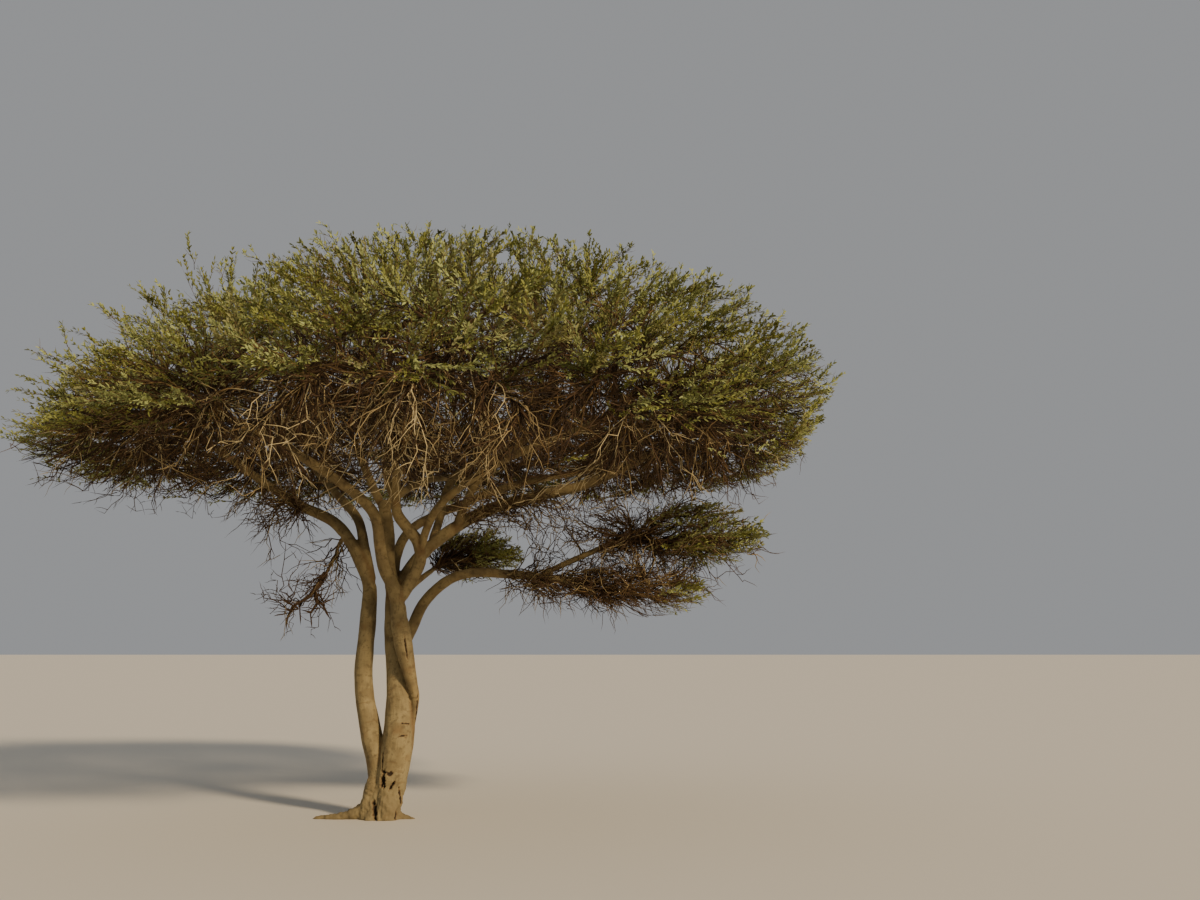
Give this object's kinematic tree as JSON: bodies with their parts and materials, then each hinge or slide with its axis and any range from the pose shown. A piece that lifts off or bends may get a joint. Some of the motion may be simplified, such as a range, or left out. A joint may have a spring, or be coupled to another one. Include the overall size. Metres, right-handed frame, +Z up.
{
  "type": "acacia tree",
  "caption": "Umbrella thorn acacia with twisted pale stems, a wide flat-topped crown over bare hanging twigs, and a low side branch.",
  "frame": {"origin": "on the flat cut at ground level under the trunk, between the feet of the two stems", "axes": "+Z up; the picture looks along +Y, so -Y is the near side and +X is to the viewer's right, where the low branch reaches out"},
  "size_m": [7.2878, 6.9429, 5.2773],
  "materials": {
    "bark": "smooth pale bark",
    "dead_wood": "weathered",
    "foliage": "matt leaves"
  },
  "bodies": {
    "root": {"trunk_butt": "bark", "stem_left": "bark", "stem_right": "bark", "stem_front": "bark", "bough_front_left": "bark", "bough_front_lower": "bark", "bough_front": "bark", "bough_inner_front": "bark", "bough_front_right": "bark", "bough_middle": "bark", "bough_back": "bark", "bough_inner_left": "bark", "bough_back_right": "bark", "bough_right": "bark", "bough_inner_right": "bark", "bough_inner_back": "bark", "bough_left": "bark", "bough_back_left": "bark", "branch_low_right": "bark", "branch_low_right_upper": "bark", "branch_back_low": "bark", "branch_dead_left": "dead_wood", "foliage_right": "foliage", "foliage_back_right": "foliage", "foliage_back": "foliage", "foliage_back_left": "foliage", "foliage_left": "foliage", "foliage_front_left": "foliage", "foliage_front": "foliage", "foliage_front_right": "foliage", "foliage_inner_right": "foliage", "foliage_inner_back": "foliage", "foliage_inner_left": "foliage", "foliage_inner_front": "foliage", "foliage_low_right_upper": "foliage", "foliage_low_right_lower": "foliage", "foliage_back_low": "foliage", "dead_twigs_left": "dead_wood"}
  },
  "joints": []
}
